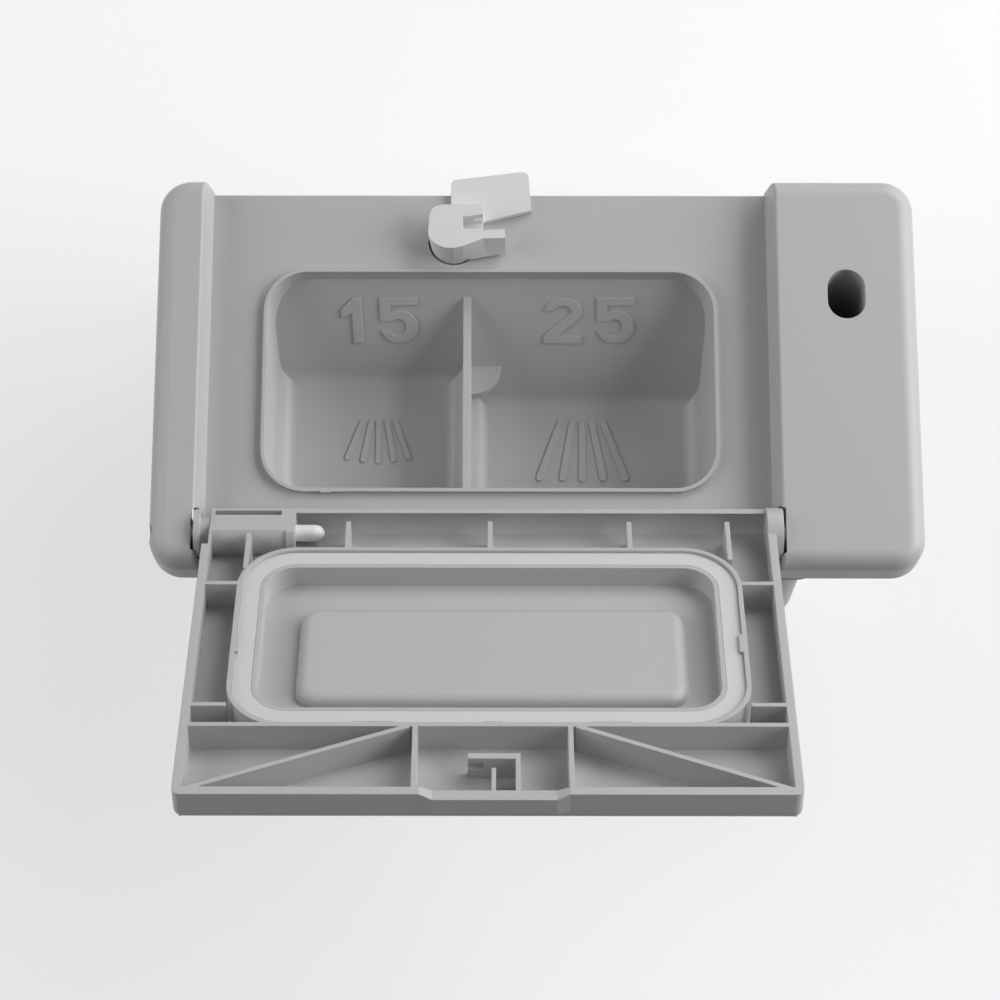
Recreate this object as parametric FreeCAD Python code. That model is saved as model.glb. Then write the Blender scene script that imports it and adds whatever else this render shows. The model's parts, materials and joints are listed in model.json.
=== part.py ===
"""Dishwasher detergent dispenser with a sprung lid, a turning latch and a rinse-aid dosing valve.

Working frame, millimetres: z = 0 is the face plate that the cup opens through, +z points into the
wash tub, x runs across the lid hinge and +y points from the hinge towards the latch. The lid is
modelled closed and then swung open. At the end everything moves so that the origin is the bottom
centre of the whole part.
"""
import FreeCAD
import Part
import math
import os

V = FreeCAD.Vector
X_AXIS = V(1, 0, 0)
Z_AXIS = V(0, 0, 1)

# Face: flange, two raised columns and the recess between them
FACE_HALF_WIDTH = 119.2
FACE_NEAR = -24.2
FACE_FAR = 103.0
PLATE_FAR = 101.2
FACE_CORNER_R = 10.0
FLANGE_THICK = 3.0
COLUMN_TOP = 11.3
COLUMN_EDGE_R = 5.5
COLUMN_WALL = 2.2
LEFT_COLUMN = 16.2
RIGHT_COLUMN = 46.0
RECESS_LEFT = LEFT_COLUMN - FACE_HALF_WIDTH
RECESS_RIGHT = FACE_HALF_WIDTH - RIGHT_COLUMN
RECESS_DRAFT = 2.1
RECESS_EDGE_R = 0.9
PORT_X = FACE_HALF_WIDTH - 22.3
PORT_Y = 64.0
PORT_WIDTH = 11.8
PORT_LENGTH = 16.2
PORT_WALL = 1.6
PORT_BOTTOM = -42.0

# Body behind the flange
BODY_LEFT = RECESS_LEFT + 3.0
BODY_RIGHT = RECESS_RIGHT + 11.2
BODY_NEAR = -22.0
BODY_FAR = 98.0
BODY_CORNER_R = 8.0
BODY_WALL = 2.2
SKIRT_BOTTOM = -14.0
BODY_BOTTOM = -60.0

# Cup
CUP_LEFT = RECESS_LEFT + 16.8
CUP_RIGHT = RECESS_RIGHT - 16.0
CUP_NEAR = 2.1
CUP_FAR = 75.8
CUP_CORNER_R = 14.0
CUP_WALL = 1.2
RIM_TOP = 2.0
SLOPE_ANGLE = 47.0
SLOPE_TOP = -2.9
SMALL_DEPTH = 30.0
LARGE_DEPTH = 36.0
CUP_FLOOR_R = 5.5
CUP_DRAFT = 3.0
DIVIDER_X = -21.95
DIVIDER_THICK = 2.5
DIVIDER_TOP = -8.0
DIVIDER_FOOT = 3.0
SHELF_R = 9.6
SHELF_TOP = -26.5
SHELF_THICK = 4.0
RIM_NUB_INSET = 20.6
RIM_NUB_X = CUP_LEFT + RIM_NUB_INSET
RIM_NUB_WIDTH = 3.3

# Lid, given closed
HINGE_Y = -12.5
HINGE_Z = 6.6
LID_OPEN = 145.3
LID_LEFT = RECESS_LEFT + 1.1
LID_RIGHT = RECESS_RIGHT - 0.5
LID_END = 104.8
LID_TIP = 1.4
LID_FLOOR = 10.6
LID_SKIN = 12.0
LID_WALL = 2.5
LID_END_WALL = 3.0
LID_BACK_R = 7.7
LID_BACK_WALL = 1.5
LID_EDGE_R = 3.6
LID_RIB = 1.5
RING_GAP_X = 2.2
RING_GAP_NEAR = 0.5
RING_GAP_FAR = 0.5
RING_WALL = 1.4
SEAL_WIDTH = 5.6
SEAL_THICK = 3.3
SEAL_GAP = 0.3
SEAL_SIDE_GAP = 0.05
RECESS_FLOOR = 9.5
DOME_FACE = 5.6
DOME_LEFT = CUP_LEFT + 15.7
DOME_RIGHT = CUP_RIGHT - 13.9
DOME_NEAR = 22.0
DOME_FAR = 62.2
DOME_CORNER_R = 6.0
DOME_EDGE_R = 3.4
CROSS_WALL = 1.6
FIRST_RIB = 44.2
SECOND_RIB = 87.5
LAST_RIB = 44.7
LEFT_SHORT_RIB = 14.1
RIGHT_CORNER_RIB = 14.7
SIDE_RIB_NEAR = 29.0
SIDE_RIB_FAR = 81.4
POCKET_LEFT = -36.0
POCKET_RIGHT = 7.9
GRIP_BULGE = 0.8
GRIP_LEFT = -33.6
GRIP_RIGHT = 8.2
GRIP_RAMP = 3.6
TAB_GAP = 0.3
CATCH_LEFT = -20.3
CATCH_RIGHT = -5.5
CATCH_NEAR = 87.2
CATCH_THICK = 2.2
CATCH_LEG = 1.4
CATCH_FIN_X = -13.0
CATCH_FIN_THICK = 1.3
CATCH_FIN_START = 93.0
CATCH_TIP_GAP = 0.35

# Hinge
BARREL_R = 7.6
BARREL_LENGTH = 27.9
BARREL_RIGHT = LID_LEFT + BARREL_LENGTH
BARREL_FLANGE = 2.6
BARREL_BORE_R = 4.3
BARREL_SLOT = 2.0
PIN_R = 2.6
PIN_RIGHT = BARREL_RIGHT + 8.7
RUNNING_GAP = 0.05
HINGE_GAP = 0.5
LEFT_BOSS_R = 7.4
LEFT_NECK_R = 5.0
HINGE_STEP = 1.9
BARREL_END = 1.6
HINGE_STEP_LENGTH = 11.0
RIGHT_BOSS_R = 8.0
BOSS_REACH = 2.0
STUB_R = 3.0
STUB_LENGTH = 3.6
LID_SPRING_WIRE = 0.8
LID_SPRING_R = 3.4
LID_SPRING_TURNS = 7
COIL_STEPS = 10

# Latch lever, crank and shaft
LATCH_X = -26.25
LATCH_Y = 85.6
LATCH_FOOT_R = 7.4
LATCH_HUB_R = 7.2
LATCH_HUB_NEAR = 5.7
LATCH_HUB_LEAN = 0.9
LATCH_TOP = 9.2
LATCH_WELL_R = 8.0
LATCH_WELL_DEPTH = 6.0
LATCH_GAP = 0.4
LATCH_EDGE_R = 1.0
TAB_BOTTOM = 0.4
TAB_TOP = 2.45
SHAFT_R = 4.0
SHAFT_BOTTOM = -21.5
BEARING_BOTTOM = -14.0
BEARING_R = 9.9
SEAL_RING_R = 1.1
CRANK_THICK = 3.0
CRANK_R = 7.0
CRANK_ARM = 12.0
CRANK_PIN_R = 1.5
CLIP_THICK = 0.8
CLIP_R = 5.6

# Drive: solenoid in line with the dosing valve
DRIVE_Z = -24.5
DRIVE_TRAVEL = 1.7
PLUNGER_R = 4.0
PLUNGER_LEFT = -12.0
PLUNGER_RIGHT = 26.0
TONGUE_THICK = 2.4
TONGUE_HALF = 3.6
BOBBIN_LEFT = 0.0
BOBBIN_RIGHT = 30.0
BOBBIN_BORE_GAP = 0.08
BOBBIN_TUBE = 1.0
BOBBIN_FLANGE = 1.6
BOBBIN_R = 10.0
COIL_R = 9.2
YOKE_THICK = 1.6
YOKE_GAP = 0.1
DOSER_R = 2.5
DOSER_ROOM = 12.4
SLEEVE_LEFT = BOBBIN_RIGHT + YOKE_THICK + DOSER_ROOM
DOSER_INSET = 17.1
DOSER_RIGHT = BODY_RIGHT - DOSER_INSET
DOSER_HEAD_R = 4.5
SLEEVE_R = 6.5
TANK_LENGTH = 22.4
TANK_WALL_X = BODY_RIGHT - TANK_LENGTH
TANK_WALL = 2.0
COVER_THICK = 2.0
DRIVE_SPRING_WIRE = 0.7
TERMINAL_LENGTH = 9.0

# Fixing and sealing in the door panel
GASKET_WIDTH = 4.5
GASKET_THICK = 4.0
GASKET_NEAR = 1.6
GASKET_FAR = 2.7
PANEL_GAP = 1.2
CLIP_STRIP = 1.0
CLIP_WIDTH = 14.0
CLIP_OUT = 3.0
CLIP_HEIGHT = 11.0
CLIP_INSET = 30.0


def box(x0, x1, y0, y1, z0, z1):
    """A box between two corners."""
    return Part.makeBox(x1 - x0, y1 - y0, z1 - z0, V(x0, y0, z0))


def cyl_x(radius, x0, x1, y, z):
    """A round bar along x."""
    return Part.makeCylinder(radius, x1 - x0, V(x0, y, z), X_AXIS)


def cyl_z(radius, z0, z1, x, y):
    """A round bar along z."""
    return Part.makeCylinder(radius, z1 - z0, V(x, y, z0), Z_AXIS)


def rounded_wire(x0, x1, y0, y1, r, z):
    """A rounded rectangle at height z, made of straight lines and quarter arcs."""
    k = r * (1 - math.sqrt(0.5))
    edges = [
        Part.LineSegment(V(x0 + r, y0, z), V(x1 - r, y0, z)),
        Part.Arc(V(x1 - r, y0, z), V(x1 - k, y0 + k, z), V(x1, y0 + r, z)),
        Part.LineSegment(V(x1, y0 + r, z), V(x1, y1 - r, z)),
        Part.Arc(V(x1, y1 - r, z), V(x1 - k, y1 - k, z), V(x1 - r, y1, z)),
        Part.LineSegment(V(x1 - r, y1, z), V(x0 + r, y1, z)),
        Part.Arc(V(x0 + r, y1, z), V(x0 + k, y1 - k, z), V(x0, y1 - r, z)),
        Part.LineSegment(V(x0, y1 - r, z), V(x0, y0 + r, z)),
        Part.Arc(V(x0, y0 + r, z), V(x0 + k, y0 + k, z), V(x0 + r, y0, z)),
    ]
    return Part.Wire([edge.toShape() for edge in edges])


def rounded_block(x0, x1, y0, y1, r, z0, z1):
    """A block with rounded upright corners."""
    face = Part.Face(rounded_wire(x0, x1, y0, y1, r, z0))
    return face.extrude(V(0, 0, z1 - z0))


def drafted_block(x0, x1, y0, y1, r, z0, z1, inset):
    """A rounded block whose lower end is smaller by inset on every side."""
    low = rounded_wire(x0 + inset, x1 - inset, y0 + inset, y1 - inset, r - inset, z0)
    high = rounded_wire(x0, x1, y0, y1, r, z1)
    return Part.makeLoft([low, high], True, True)


def side_prism(points, x0, x1):
    """A polygon given as (y, z) points, carried along x."""
    ring = [V(x0, y, z) for y, z in points]
    face = Part.Face(Part.makePolygon(ring + [ring[0]]))
    return face.extrude(V(x1 - x0, 0, 0))


def plan_prism(points, z0, z1):
    """A polygon given as (x, y) points, carried along z."""
    ring = [V(x, y, z0) for x, y in points]
    face = Part.Face(Part.makePolygon(ring + [ring[0]]))
    return face.extrude(V(0, 0, z1 - z0))


def fuse(shapes):
    """One solid from several that touch."""
    whole = shapes[0].multiFuse(shapes[1:])
    return whole.removeSplitter()


def edges_where(shape, test):
    """The edges whose middle point passes the test."""
    found = []
    for edge in shape.Edges:
        middle = edge.valueAt((edge.FirstParameter + edge.LastParameter) / 2)
        if test(middle, edge):
            found.append(edge)
    return found


def spring_coil(radius, wire, pitch, turns, start, axis):
    """A helical spring with a six-sided wire that starts at a point and runs along an axis."""
    sections = []
    for step in range(turns * COIL_STEPS + 1):
        a = 2 * math.pi * step / COIL_STEPS
        ring = []
        for corner in range(6):
            t = math.pi * corner / 3
            out = radius + wire / 2 * math.cos(t)
            up = pitch * step / COIL_STEPS + wire / 2 * math.sin(t)
            ring.append(V(out * math.cos(a), out * math.sin(a), up))
        sections.append(Part.makePolygon(ring + [ring[0]]))
    coil = Part.makeLoft(sections, True, True)
    coil.Placement = FreeCAD.Placement(start, FreeCAD.Rotation(Z_AXIS, axis))
    return coil


def slope_y(z):
    """Where the cup's sloping wall lies at a depth."""
    top = CUP_FAR - CUP_WALL
    return top + (z - SLOPE_TOP) / math.tan(math.radians(SLOPE_ANGLE))


def cup_space(x0, x1, depth, grow):
    """The cup's inside between two x values, or its outside when grown by the wall."""
    normal = grow / math.sin(math.radians(SLOPE_ANGLE))
    points = [
        (CUP_NEAR, RIM_TOP + 1),
        (CUP_NEAR, -depth - grow),
        (slope_y(-depth) + normal - grow / math.tan(math.radians(SLOPE_ANGLE)), -depth - grow),
        (CUP_FAR - CUP_WALL + normal, SLOPE_TOP),
        (CUP_FAR, SLOPE_TOP + grow),
        (CUP_FAR, RIM_TOP + 1),
    ]
    wedge = side_prism(points, x0, x1)
    wall = CUP_WALL - grow
    tube = drafted_block(
        CUP_LEFT + wall, CUP_RIGHT - wall, CUP_NEAR + wall, CUP_FAR - wall,
        CUP_CORNER_R - wall, -LARGE_DEPTH - CUP_WALL, RIM_TOP + 1, CUP_DRAFT)
    return wedge.common(tube)


def make_cup():
    """Outside and inside of the two-compartment cup."""
    middle = DIVIDER_X
    outside = fuse([
        cup_space(CUP_LEFT - 1, middle, SMALL_DEPTH, CUP_WALL),
        cup_space(middle, CUP_RIGHT + 1, LARGE_DEPTH, CUP_WALL),
    ])
    trim = box(CUP_LEFT - 5, CUP_RIGHT + 5, CUP_NEAR - 5, CUP_FAR + 5, RIM_TOP, RIM_TOP + 9)
    outside = outside.cut(trim)
    half = DIVIDER_THICK / 2
    spaces = []
    for x0, x1, depth in ((CUP_LEFT - 1, middle - half, SMALL_DEPTH), (middle + half, CUP_RIGHT + 1, LARGE_DEPTH)):
        space = cup_space(x0, x1, depth, 0)
        low = edges_where(space, lambda p, e, d=depth: abs(p.z + d) < 0.01)
        spaces.append(space.makeFillet(CUP_FLOOR_R, low))
    over = cup_space(middle - half - 1, middle + half + 1, -DIVIDER_TOP, 0)
    return outside, spaces, over


def make_front_housing():
    """Face, columns, cup, divider, shelf and skirt, moulded in one."""
    blank = rounded_block(
        -FACE_HALF_WIDTH, FACE_HALF_WIDTH, FACE_NEAR, FACE_FAR, FACE_CORNER_R, -FLANGE_THICK, COLUMN_TOP)
    rim = edges_where(blank, lambda p, e: abs(p.z - COLUMN_TOP) < 0.01)
    blank = blank.makeFillet(COLUMN_EDGE_R, rim)
    high = COLUMN_TOP + 2
    lean = RECESS_DRAFT * high / COLUMN_TOP
    trough = [
        V(RECESS_LEFT, FACE_NEAR - 5, 0),
        V(RECESS_RIGHT, FACE_NEAR - 5, 0),
        V(RECESS_RIGHT + lean, FACE_NEAR - 5, high),
        V(RECESS_LEFT - lean, FACE_NEAR - 5, high),
    ]
    recess = Part.Face(Part.makePolygon(trough + [trough[0]])).extrude(V(0, FACE_FAR - FACE_NEAR + 10, 0))
    face = blank.cut(recess)
    face = face.cut(box(
        RECESS_LEFT, RECESS_RIGHT, PLATE_FAR, FACE_FAR + 5, -FLANGE_THICK - 1, COLUMN_TOP + 1))
    lips = edges_where(
        face, lambda p, e: abs(p.z - COLUMN_TOP) < 0.01 and e.Length > 90 and RECESS_LEFT - 4 < p.x < RECESS_RIGHT + 4)
    face = face.makeFillet(RECESS_EDGE_R, lips)

    outside, spaces, over = make_cup()
    skirt = rounded_block(
        BODY_LEFT, BODY_RIGHT, BODY_NEAR, BODY_FAR, BODY_CORNER_R, SKIRT_BOTTOM, -FLANGE_THICK)
    skirt = skirt.cut(rounded_block(
        BODY_LEFT + BODY_WALL, BODY_RIGHT - BODY_WALL, BODY_NEAR + BODY_WALL, BODY_FAR - BODY_WALL,
        BODY_CORNER_R - BODY_WALL, SKIRT_BOTTOM - 1, -FLANGE_THICK))
    bearing = cyl_z(BEARING_R, BEARING_BOTTOM, -FLANGE_THICK, LATCH_X, LATCH_Y)
    port_well = port_block(PORT_WALL, PORT_BOTTOM - PORT_WALL, COLUMN_TOP - COLUMN_WALL + 0.1)

    hollows = []
    for x0, x1 in ((-FACE_HALF_WIDTH, RECESS_LEFT), (RECESS_RIGHT, FACE_HALF_WIDTH)):
        hollows.append(box(
            x0 + COLUMN_WALL * 2, x1 - COLUMN_WALL - 0.6, FACE_NEAR + 16, FACE_FAR - 5,
            -FLANGE_THICK - 1, COLUMN_TOP - COLUMN_WALL))
    hollows[1] = box(
        BODY_RIGHT + 3, FACE_HALF_WIDTH - COLUMN_WALL * 2, FACE_NEAR + 16, FACE_FAR - 5,
        -FLANGE_THICK - 1, COLUMN_TOP - COLUMN_WALL)
    face = face.cut(hollows)
    whole = fuse([face, outside, skirt, bearing, port_well])
    port = port_block(0, PORT_BOTTOM, COLUMN_TOP + 1)
    well = cyl_z(LATCH_WELL_R, -LATCH_WELL_DEPTH, 1, LATCH_X, LATCH_Y)
    ring_seat = cyl_z(
        SHAFT_R + 2 * SEAL_RING_R + 2 * RUNNING_GAP, -LATCH_WELL_DEPTH - 2 * SEAL_RING_R, 0, LATCH_X, LATCH_Y)
    bore = cyl_z(SHAFT_R + RUNNING_GAP, BEARING_BOTTOM - 1, 0, LATCH_X, LATCH_Y)
    trough_r = LID_BACK_R + HINGE_GAP
    barrel_room = cyl_x(trough_r, RECESS_LEFT - 0.1, RECESS_RIGHT + 0.1, HINGE_Y, HINGE_Z)
    left_room = cyl_x(LEFT_BOSS_R + HINGE_GAP, RECESS_LEFT - BOSS_REACH - 1, RECESS_LEFT + 1, HINGE_Y, HINGE_Z)
    right_room = cyl_x(RIGHT_BOSS_R + HINGE_GAP, RECESS_RIGHT - 1, RECESS_RIGHT + BOSS_REACH + 1, HINGE_Y, HINGE_Z)
    pin_hole = cyl_x(PIN_R, -FACE_HALF_WIDTH - 1, RECESS_LEFT, HINGE_Y, HINGE_Z)
    stub_hole = cyl_x(
        STUB_R + RUNNING_GAP, RECESS_RIGHT, RECESS_RIGHT + BOSS_REACH + STUB_LENGTH + 1.4, HINGE_Y, HINGE_Z)
    cuts = spaces + [over, port, well, ring_seat, bore, barrel_room, left_room, right_room, pin_hole, stub_hole]
    whole = whole.cut(cuts)

    half = DIVIDER_THICK / 2
    shelf = cyl_z(SHELF_R, SHELF_TOP - SHELF_THICK, SHELF_TOP, DIVIDER_X + half, slope_y(SHELF_TOP))
    shelf = shelf.common(box(
        DIVIDER_X, DIVIDER_X + half + SHELF_R, slope_y(SHELF_TOP) - SHELF_R, slope_y(SHELF_TOP) + 0.6,
        SHELF_TOP - SHELF_THICK, SHELF_TOP))
    foot = DIVIDER_X - half
    wedge_top = -SMALL_DEPTH + 14
    web = Part.Face(Part.makePolygon([
        V(foot + 0.5, CUP_NEAR + CUP_WALL, -SMALL_DEPTH), V(foot - DIVIDER_FOOT, CUP_NEAR + CUP_WALL, -SMALL_DEPTH),
        V(foot + 0.5, CUP_NEAR + CUP_WALL, wedge_top), V(foot + 0.5, CUP_NEAR + CUP_WALL, -SMALL_DEPTH)]))
    web = web.extrude(V(0, slope_y(-SMALL_DEPTH) - CUP_NEAR - CUP_WALL, 0))
    nub = box(
        RIM_NUB_X - RIM_NUB_WIDTH / 2, RIM_NUB_X + RIM_NUB_WIDTH / 2, CUP_NEAR - 0.2, CUP_NEAR + CUP_WALL / 2,
        0, RIM_TOP)
    return fuse([whole, shelf, web, nub])


def port_block(grow, z0, z1):
    """The oval port's shape, grown on every side."""
    half_w = PORT_WIDTH / 2 + grow
    half_l = PORT_LENGTH / 2 + grow
    return rounded_block(
        PORT_X - half_w, PORT_X + half_w, PORT_Y - half_l, PORT_Y + half_l, half_w - 0.01, z0, z1)


def make_rear_shell():
    """The deep tray behind, with the rinse-aid tank on its right."""
    tray = rounded_block(
        BODY_LEFT, BODY_RIGHT, BODY_NEAR, BODY_FAR, BODY_CORNER_R, BODY_BOTTOM, SKIRT_BOTTOM)
    room = rounded_block(
        BODY_LEFT + BODY_WALL, BODY_RIGHT - BODY_WALL, BODY_NEAR + BODY_WALL, BODY_FAR - BODY_WALL,
        BODY_CORNER_R - BODY_WALL, BODY_BOTTOM + BODY_WALL, SKIRT_BOTTOM + 1)
    bottom_edges = edges_where(tray, lambda p, e: abs(p.z - BODY_BOTTOM) < 0.01)
    tray = tray.makeChamfer(1.5, bottom_edges).cut(room)
    wall = box(
        TANK_WALL_X, TANK_WALL_X + TANK_WALL, BODY_NEAR + BODY_WALL / 2, BODY_FAR - BODY_WALL / 2,
        BODY_BOTTOM + BODY_WALL / 2, SKIRT_BOTTOM - COVER_THICK)
    axis_y = LATCH_Y - CRANK_ARM
    foot_top = DRIVE_Z - BOBBIN_R - YOKE_THICK - YOKE_GAP
    seat = box(BOBBIN_LEFT + 2, BOBBIN_RIGHT - 2, axis_y - 6, axis_y + 6, BODY_BOTTOM + BODY_WALL / 2, foot_top)
    post = box(SLEEVE_LEFT + 4, TANK_WALL_X + 1, axis_y - 4, axis_y + 4, BODY_BOTTOM + BODY_WALL / 2,
               DRIVE_Z - SLEEVE_R + 1)
    sleeve = cyl_x(SLEEVE_R, SLEEVE_LEFT, TANK_WALL_X + TANK_WALL, axis_y, DRIVE_Z)
    whole = fuse([tray, wall, seat, post, sleeve])
    cuts = [
        cyl_x(DOSER_R + RUNNING_GAP, SLEEVE_LEFT - 1, TANK_WALL_X + TANK_WALL + 1, axis_y, DRIVE_Z),
        box(
            BOBBIN_LEFT + 5, BOBBIN_LEFT + 27, BODY_FAR - BODY_WALL - 1, BODY_FAR + 1,
            DRIVE_Z - SOCKET_HALF, DRIVE_Z + SOCKET_HALF),
    ]
    return whole.cut(cuts)


SOCKET_HALF = 4.5


def make_tank_cover():
    """The plate that closes the rinse-aid tank under the flange."""
    cover = box(
        TANK_WALL_X, BODY_RIGHT - BODY_WALL - SEAL_SIDE_GAP, BODY_NEAR + BODY_WALL + SEAL_SIDE_GAP,
        BODY_FAR - BODY_WALL - SEAL_SIDE_GAP, SKIRT_BOTTOM - COVER_THICK, SKIRT_BOTTOM)
    corners = rounded_block(
        BODY_LEFT + BODY_WALL, BODY_RIGHT - BODY_WALL - SEAL_SIDE_GAP, BODY_NEAR + BODY_WALL + SEAL_SIDE_GAP,
        BODY_FAR - BODY_WALL - SEAL_SIDE_GAP, BODY_CORNER_R - BODY_WALL, SKIRT_BOTTOM - 5, SKIRT_BOTTOM + 5)
    return cover.common(corners)


def make_gasket():
    """The rubber frame that the flange presses on the door panel."""
    outer = rounded_block(
        BODY_LEFT - GASKET_WIDTH, BODY_RIGHT + GASKET_WIDTH, BODY_NEAR - GASKET_NEAR, BODY_FAR + GASKET_FAR,
        BODY_CORNER_R, -FLANGE_THICK - GASKET_THICK, -FLANGE_THICK)
    inner = rounded_block(
        BODY_LEFT, BODY_RIGHT, BODY_NEAR, BODY_FAR, BODY_CORNER_R,
        -FLANGE_THICK - GASKET_THICK - 1, -FLANGE_THICK + 1)
    return outer.cut(inner)


def ring_rect(inset):
    """The lid's ring round the cup rim, inset from its outer wall: x0, x1, y0, y1, corner radius."""
    outer_r = CUP_CORNER_R + RING_GAP_X + RING_WALL
    return (
        CUP_LEFT - RING_GAP_X - RING_WALL + inset, CUP_RIGHT + RING_GAP_X + RING_WALL - inset,
        CUP_NEAR - RING_GAP_NEAR - RING_WALL + inset, CUP_FAR + RING_GAP_FAR + RING_WALL - inset,
        outer_r - inset)


def ring_block(inset, z0, z1):
    """A solid rounded block inside the ring's outline."""
    x0, x1, y0, y1, r = ring_rect(inset)
    return rounded_block(x0, x1, y0, y1, r, z0, z1)


def swing_open(shape):
    """Turn a lid piece from closed to open."""
    shape.rotate(V(0, HINGE_Y, HINGE_Z), X_AXIS, LID_OPEN)
    return shape


def arc_point(radius, angle):
    """A point round the hinge axis as (y, z); 180 degrees points away from the latch."""
    a = math.radians(angle)
    return HINGE_Y + radius * math.cos(a), HINGE_Z + radius * math.sin(a)


def lid_profile(back_r, tip_z, skin_z, end_y, corner_r):
    """A closed side outline: flat skin, rounded back round the hinge, straight end."""
    up = skin_z - HINGE_Z
    down = tip_z - HINGE_Z
    y_skin = HINGE_Y - math.sqrt(back_r ** 2 - up ** 2)
    y_tip = HINGE_Y - math.sqrt(back_r ** 2 - down ** 2)
    k = corner_r * (1 - math.sqrt(0.5))
    edges = [
        Part.LineSegment(V(0, y_tip, tip_z), V(0, end_y, tip_z)),
        Part.LineSegment(V(0, end_y, tip_z), V(0, end_y, skin_z - corner_r)),
        Part.Arc(V(0, end_y, skin_z - corner_r), V(0, end_y - k, skin_z - k), V(0, end_y - corner_r, skin_z)),
        Part.LineSegment(V(0, end_y - corner_r, skin_z), V(0, y_skin, skin_z)),
        Part.Arc(V(0, y_skin, skin_z), V(0, HINGE_Y - back_r, HINGE_Z), V(0, y_tip, tip_z)),
    ]
    return Part.Face(Part.Wire([edge.toShape() for edge in edges]))


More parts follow.
